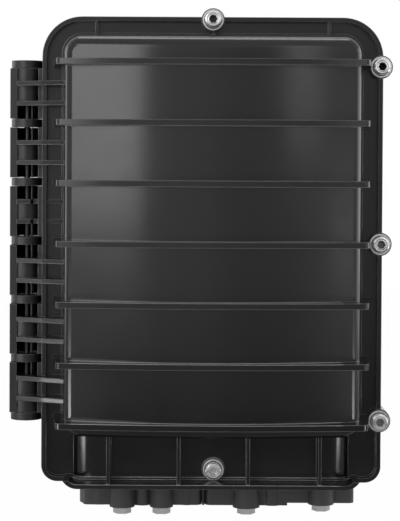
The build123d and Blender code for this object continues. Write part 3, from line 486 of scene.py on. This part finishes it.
class StudioSettings(bpy.types.PropertyGroup):
    """Camera, lamps and ground."""

    lens: FloatProperty(
        name="Lens", description="Focal length of the camera in millimetres",
        default=119.5, min=10.0,
    )
    distance: FloatProperty(
        name="Distance", description="Camera to wall plane", default=1.4963, unit="LENGTH",
    )
    key_power: FloatProperty(
        name="Key power", description="Power of the large lamp at the left",
        default=7.7, subtype="POWER",
    )
    world_strength: FloatProperty(
        name="Surround", description="Strength of the surround on matt surfaces",
        default=0.15, min=0.0,
    )
    room_strength: FloatProperty(
        name="Room", description="Strength of the room in front in reflections",
        default=0.74, min=0.0,
    )
    screen_shade: FloatProperty(
        name="Screen shade", description="Share of the room that the dark screen leaves",
        default=0.72, min=0.0, max=1.0,
    )
    white_from: FloatProperty(
        name="White from", description="How far round reflections turn white, 1 is behind",
        default=0.58, min=-1.0, max=1.0,
    )
    ground: FloatProperty(
        name="Ground height", description="Height of the floor under the object",
        default=-0.262, unit="LENGTH",
    )


# Grip ridges on the bolt heads


def ridge_tree(material):
    """Geometry nodes that set small ridges on a circle round the Y axis."""
    tree = bpy.data.node_groups.new("grip_ridges", "GeometryNodeTree")
    face = tree.interface
    sizes = (
        ("Radius", 6.5 * MILLIMETRE), ("Height", 0.3 * MILLIMETRE),
        ("Length", RIDGE_LENGTH), ("Width", RIDGE_WIDTH),
    )
    for label, default in sizes:
        socket = face.new_socket(label, in_out="INPUT", socket_type="NodeSocketFloat")
        socket.default_value = default
    count = face.new_socket("Count", in_out="INPUT", socket_type="NodeSocketInt")
    count.default_value = 36
    face.new_socket("Centre", in_out="INPUT", socket_type="NodeSocketVector")
    face.new_socket("Geometry", in_out="OUTPUT", socket_type="NodeSocketGeometry")
    add, link = tree.nodes.new, tree.links.new
    given, result = add("NodeGroupInput"), add("NodeGroupOutput")
    circle = add("GeometryNodeMeshCircle")
    link(given.outputs["Count"], circle.inputs["Vertices"])
    link(given.outputs["Radius"], circle.inputs["Radius"])
    size = add("ShaderNodeCombineXYZ")
    twice = add("ShaderNodeMath")
    twice.operation = "MULTIPLY"
    twice.inputs[1].default_value = 2.0
    link(given.outputs["Height"], twice.inputs[0])
    link(twice.outputs[0], size.inputs["X"])
    link(given.outputs["Width"], size.inputs["Y"])
    link(given.outputs["Length"], size.inputs["Z"])
    ridge = add("GeometryNodeMeshCube")
    link(size.outputs[0], ridge.inputs["Size"])
    aim = add("FunctionNodeAlignRotationToVector")
    aim.axis = "X"
    where = add("GeometryNodeInputPosition")
    link(where.outputs[0], aim.inputs["Vector"])
    spread = add("GeometryNodeInstanceOnPoints")
    link(circle.outputs[0], spread.inputs["Points"])
    link(ridge.outputs[0], spread.inputs["Instance"])
    link(aim.outputs[0], spread.inputs["Rotation"])
    real = add("GeometryNodeRealizeInstances")
    link(spread.outputs[0], real.inputs[0])
    turn = add("GeometryNodeTransform")
    turn.inputs["Rotation"].default_value = (math.pi / 2, 0.0, 0.0)
    link(real.outputs[0], turn.inputs[0])
    link(given.outputs["Centre"], turn.inputs["Translation"])
    paint = add("GeometryNodeSetMaterial")
    paint.inputs["Material"].default_value = material
    link(turn.outputs[0], paint.inputs[0])
    link(paint.outputs[0], result.inputs[0])
    return tree


def grown_mesh(name, tree, values):
    """Runs a node tree once and keeps what it makes as a plain object."""
    seed = bpy.data.objects.new(name + "_seed", bpy.data.meshes.new(name + "_seed"))
    bpy.context.scene.collection.objects.link(seed)
    grow = seed.modifiers.new("grow", "NODES")
    grow.node_group = tree
    for item in tree.interface.items_tree:
        if item.in_out == "INPUT" and item.name in values:
            grow[item.identifier] = values[item.name]
    evaluated = seed.evaluated_get(bpy.context.evaluated_depsgraph_get())
    mesh = bpy.data.meshes.new_from_object(evaluated)
    mesh.name = name
    bpy.data.objects.remove(seed)
    made = bpy.data.objects.new(name, mesh)
    bpy.context.scene.collection.objects.link(made)
    return made


# Dark strips in the slits beside the web between the port plates, as painted shade


def box_corners(low, high):
    """Corners and faces of a box between two points."""
    corners = list(itertools.product(*zip(low, high)))
    faces = [(0, 1, 3, 2), (4, 6, 7, 5), (0, 4, 5, 1), (2, 3, 7, 6), (0, 2, 6, 4), (1, 5, 7, 3)]
    return corners, faces


def port_shade_strips():
    """Two thin dark strips that fill the slits as painted shade, as one plain object."""
    left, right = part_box("outer_gland_plate_left"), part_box("outer_gland_plate_right")
    middle = (left[1][0] + right[0][0]) / 2
    edges = (left[1][0], middle - PORT_WEB / 2, middle + PORT_WEB / 2, right[0][0])
    low_z, high_z = left[0][2] + STRIP_LIFT, left[1][2] - STRIP_DROP
    corners, faces = [], []
    for first, last in (edges[:2], edges[2:]):
        low = (first + STRIP_PLAY, STRIP_FRONT, low_z)
        high = (last - STRIP_PLAY, STRIP_BACK, high_z)
        made, sides = box_corners(low, high)
        faces += [tuple(index + len(corners) for index in side) for side in sides]
        corners += made
    mesh = bpy.data.meshes.new("port_gap_shade_strips")
    mesh.from_pydata(corners, [], faces)
    strips = bpy.data.objects.new("port_gap_shade_strips", mesh)
    bpy.context.scene.collection.objects.link(strips)
    return strips


# Operators, one for each piece or group of like pieces


class CLOSURE_OT_shells(bpy.types.Operator):
    """Finish the cover, the base and the outer gland plates"""

    bl_idname = "closure.shells"
    bl_label = "Shells"

    def execute(self, context):
        given = context.scene.closure_shell
        radius = given.edge_radius
        shell = moulded_plastic(
            "moulded_shell", given.colour, given.roughness, radius, dust_highlight_matt_hinge=True,
        )
        dress(("cover_shell", "base_shell"), shell)
        # Painted light: the outer gland plates take the shell colour made lighter, so that they
        # look more lit; they are also rougher
        gland = moulded_plastic("gland_plastic_painted_light", lighter(given.colour, 0.09), 0.42, radius)
        dress(("outer_gland_plate_left", "outer_gland_plate_right"), gland)
        plug = moulded_plastic("plug_plastic", lighter(given.colour, 0.01), 0.45, SOFT_EDGE)
        dress(("inner_gland_plate_left", "inner_gland_plate_right"), plug)
        dress(("port_plugs", "hinge_rod_plug"), plug)
        return {"FINISHED"}


class CLOSURE_OT_seals(bpy.types.Operator):
    """Finish the gasket and the seal blocks, and fill the slits beside the web with dark strips as
    painted shade
    """

    bl_idname = "closure.seals"
    bl_label = "Seals"

    def execute(self, context):
        dress(("cover_gasket",), soft_rubber("gasket_rubber", GASKET_COLOUR))
        blocks = soft_rubber("seal_rubber", SEAL_COLOUR)
        dress(("seal_block_left", "seal_block_right"), blocks)
        # Dark strips put in the slits as painted shade
        strips = port_shade_strips()
        strips.data.materials.append(soft_rubber("shade_strip_matt", SHADE_STRIP_COLOUR))
        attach(strips, "base")
        return {"FINISHED"}


class CLOSURE_OT_bolts(bpy.types.Operator):
    """Finish the cover bolts and set the grip ridges on their heads"""

    bl_idname = "closure.bolts"
    bl_label = "Cover bolts"

    def execute(self, context):
        given = context.scene.closure_hardware
        # Each bolt's socket gets painted shade, by its share in BOLT_BODIES
        for body, socket_shade in BOLT_BODIES.items():
            node = "cover_" + body
            centre = node_middle(node)
            low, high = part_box(node)
            metal = turned_metal(
                node + "_steel", given.steel, 0.2, centre, socket_shade=socket_shade, depth=centre[1] - low[1],
            )
            dress((node,), metal)
            values = {
                "Radius": (high[0] - low[0]) / 2,
                "Height": given.ridge_height,
                "Length": RIDGE_LENGTH,
                "Width": RIDGE_WIDTH,
                "Count": given.ridges,
                "Centre": (centre[0], low[1] + RIDGE_START + RIDGE_LENGTH / 2, centre[2]),
            }
            ridges = grown_mesh("grip_ridges_" + body, ridge_tree(metal), values)
            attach(ridges, body)
        # Washers get a painted shadow round each bolt's head
        heads = [node_middle("cover_" + body) for body in BOLT_BODIES]
        washer = turned_metal("washer_steel", given.steel, 0.3, rings=900.0, heads=heads)
        dress(("cover_bolt_washers",), washer)
        return {"FINISHED"}


class CLOSURE_OT_hardware(bpy.types.Operator):
    """Finish the gland bolts, nuts, hinge rod, inserts and small screws"""

    bl_idname = "closure.hardware"
    bl_label = "Other hardware"

    def execute(self, context):
        given = context.scene.closure_hardware
        steel = turned_metal("gland_steel", given.steel, 0.3, axis="Z", rings=900.0)
        dress(("gland_bolts", "gland_nuts"), steel)
        middle = node_middle("hinge_rod")
        rod = turned_metal("rod_steel", ROD_COLOUR, 0.4, middle, "Z", sheen=0.05)
        dress(("hinge_rod",), rod)
        small = turned_metal("screw_steel", given.steel, 0.3, rings=1200.0)
        dress(("chassis_screws", "tray_bracket_screws", "clamp_screws"), small)
        dress(("anchor_screws", "bonding_screws"), small)
        brass = turned_metal("insert_brass", given.brass, 0.3, rings=1500.0)
        dress(("cover_bolt_inserts", "mount_inserts"), brass)
        dress(("strength_anchors", "bonding_bar"), rolled_metal("bar_brass", given.brass, 0.32))
        return {"FINISHED"}


class CLOSURE_OT_organiser(bpy.types.Operator):
    """Finish the chassis, the bracket, the trays and their holders"""

    bl_idname = "closure.organiser"
    bl_label = "Organiser"

    def execute(self, context):
        given = context.scene.closure_organiser
        chassis = rolled_metal("chassis_metal", given.chassis, 0.34)
        dress(("chassis_plate", "tray_bracket", "clamp_rail"), chassis)
        tray = moulded_plastic("tray_plastic", given.tray, 0.42, SOFT_EDGE)
        holder = moulded_plastic("holder_plastic", given.holder, 0.45, SHARP_EDGE, edge_wear_and_highlight=0.15)
        dress([f"splice_tray_{k}" for k in range(1, 5)], tray)
        dress([f"splice_holder_{k}" for k in range(1, 5)], holder)
        dress(("tray_lid",), clear_plastic("lid_plastic", LID_COLOUR))
        clamps = moulded_plastic("clamp_plastic", CLAMP_COLOUR, 0.45, FINE_EDGE)
        dress(("cable_clamps", "fibre_guides"), clamps)
        return {"FINISHED"}


# Stage: camera, surround, floor and lamps


def set_camera(scene, given):
    """Camera of the photograph: above and a little left of the middle, almost level."""
    camera = bpy.data.cameras.new("photo_camera")
    camera.lens = given.lens
    camera.sensor_width = 36.0
    camera.shift_x, camera.shift_y = CAMERA_SHIFT
    camera.clip_end = 50.0
    holder = bpy.data.objects.new("photo_camera", camera)
    holder.location = (CAMERA_X, -given.distance, CAMERA_Z)
    holder.rotation_euler = (math.radians(90.0 - CAMERA_DOWN), math.radians(CAMERA_ROLL), 0.0)
    scene.collection.objects.link(holder)
    scene.camera = holder


def set_surround(scene, given):
    """White to the camera; shiny surfaces see white behind the object and a dim room."""
    world = Finish(bpy.data.worlds.new("surround"))
    x, y, z = world.axes(world.value("ShaderNodeTexCoord", output="Generated"))
    full = given.room_strength
    room = world.step(z, *ROOM_FLOOR, full * ROOM_LOW, full)
    toward = y * SCREEN_WAY[1] + x * SCREEN_WAY[0]
    room = world.step(toward, *SCREEN_EDGE, room, room * given.screen_shade)
    round_back = y + x.absolute() * SIDES_ALSO
    low, high = given.white_from - WHITE_BLUR, given.white_from + WHITE_BLUR
    behind = world.step(round_back, low, high, room, 1.0)
    path = world.node("ShaderNodeLightPath").outputs
    glossy, clear, seen = (
        Wire(world, path[name])
        for name in ("Is Glossy Ray", "Is Transmission Ray", "Is Camera Ray")
    )
    light = world.between(glossy.larger(clear), given.world_strength, behind)
    strength = world.between(seen, light, 1.0)
    back = world.value("ShaderNodeBackground", {}, {"Color": WHITE, "Strength": strength})
    world.node("ShaderNodeOutputWorld", {}, {"Surface": back})
    scene.world = world.owner


def set_floor(scene, given):
    """Pale floor: white to the camera, apart from a faint shadow."""
    mesh = bpy.data.meshes.new("floor")
    corners = [
        (-FLOOR_SIDE, FLOOR_FRONT, given.ground), (FLOOR_SIDE, FLOOR_FRONT, given.ground),
        (FLOOR_SIDE, FLOOR_SIDE, given.ground), (-FLOOR_SIDE, FLOOR_SIDE, given.ground),
    ]
    mesh.from_pydata(corners, [], [(0, 1, 2, 3)])
    floor = bpy.data.objects.new("floor", mesh)
    scene.collection.objects.link(floor)
    ground = Finish(bpy.data.materials.new("floor_white"))
    camera_ray = ground.value("ShaderNodeLightPath", output="Is Camera Ray")
    matt = ground.value("ShaderNodeBsdfDiffuse", {}, {"Color": FLOOR_COLOUR})
    white = ground.value("ShaderNodeEmission", {}, {"Color": WHITE, "Strength": 1.0})
    inputs = {0: camera_ray * FLOOR_WHITE, 1: matt, 2: white}
    shown = ground.value("ShaderNodeMixShader", {}, inputs)
    ground.node("ShaderNodeOutputMaterial", {}, {"Surface": shown})
    mesh.materials.append(ground.owner)


def add_lamp(scene, name, sideways, upwards, distance, size, power):
    """Rectangular lamp round the object, that faces its middle."""
    lamp = bpy.data.lights.new(name, "AREA")
    lamp.shape = "RECTANGLE"
    lamp.size, lamp.size_y = size
    lamp.energy = power
    turn, lift = math.radians(sideways), math.radians(upwards)
    flat = distance * math.cos(lift)
    away = Vector((flat * math.sin(turn), -flat * math.cos(turn), distance * math.sin(lift)))
    holder = bpy.data.objects.new(name, lamp)
    holder.location = Vector(LAMP_AIM) + away
    holder.rotation_euler = (-away).to_track_quat("-Z", "Y").to_euler()
    scene.collection.objects.link(holder)


class CLOSURE_OT_stage(bpy.types.Operator):
    """Set up the camera, the surround, the floor and the lamps"""

    bl_idname = "closure.stage"
    bl_label = "Stage"

    def execute(self, context):
        scene = context.scene
        given = scene.closure_studio
        scene.view_settings.view_transform = "Standard"
        set_camera(scene, given)
        set_surround(scene, given)
        set_floor(scene, given)
        for name, sideways, upwards, distance, size, share in LAMPS:
            power = given.key_power * share
            add_lamp(scene, name, sideways, upwards, distance, size, power)
        return {"FINISHED"}


class CLOSURE_PT_sidebar(bpy.types.Panel):
    """Lists the closure's operators and settings"""

    bl_idname = "CLOSURE_PT_sidebar"
    bl_label = "Splice closure"
    bl_space_type = "VIEW_3D"
    bl_region_type = "UI"
    bl_category = "Closure"

    def draw(self, context):
        for operator in OPERATORS:
            self.layout.operator(operator.bl_idname)
        for group in GROUPS:
            settings = getattr(context.scene, group)
            for name in settings.bl_rna.properties.keys():
                if name not in ("rna_type", "name"):
                    self.layout.prop(settings, name)


GROUPS = {
    "closure_shell": ShellSettings,
    "closure_hardware": HardwareSettings,
    "closure_organiser": OrganiserSettings,
    "closure_studio": StudioSettings,
}
OPERATORS = (
    CLOSURE_OT_shells,
    CLOSURE_OT_seals,
    CLOSURE_OT_bolts,
    CLOSURE_OT_hardware,
    CLOSURE_OT_organiser,
    CLOSURE_OT_stage,
)


def register():
    for name, group in GROUPS.items():
        bpy.utils.register_class(group)
        setattr(bpy.types.Scene, name, PointerProperty(type=group))
    for operator in OPERATORS:
        bpy.utils.register_class(operator)
    bpy.utils.register_class(CLOSURE_PT_sidebar)


def unregister():
    bpy.utils.unregister_class(CLOSURE_PT_sidebar)
    for operator in reversed(OPERATORS):
        bpy.utils.unregister_class(operator)
    for name, group in reversed(GROUPS.items()):
        delattr(bpy.types.Scene, name)
        bpy.utils.unregister_class(group)


def main():
    register()
    bpy.ops.closure.shells()
    bpy.ops.closure.seals()
    bpy.ops.closure.bolts()
    bpy.ops.closure.hardware()
    bpy.ops.closure.organiser()
    bpy.ops.closure.stage()


if __name__ == "__main__":
    main()
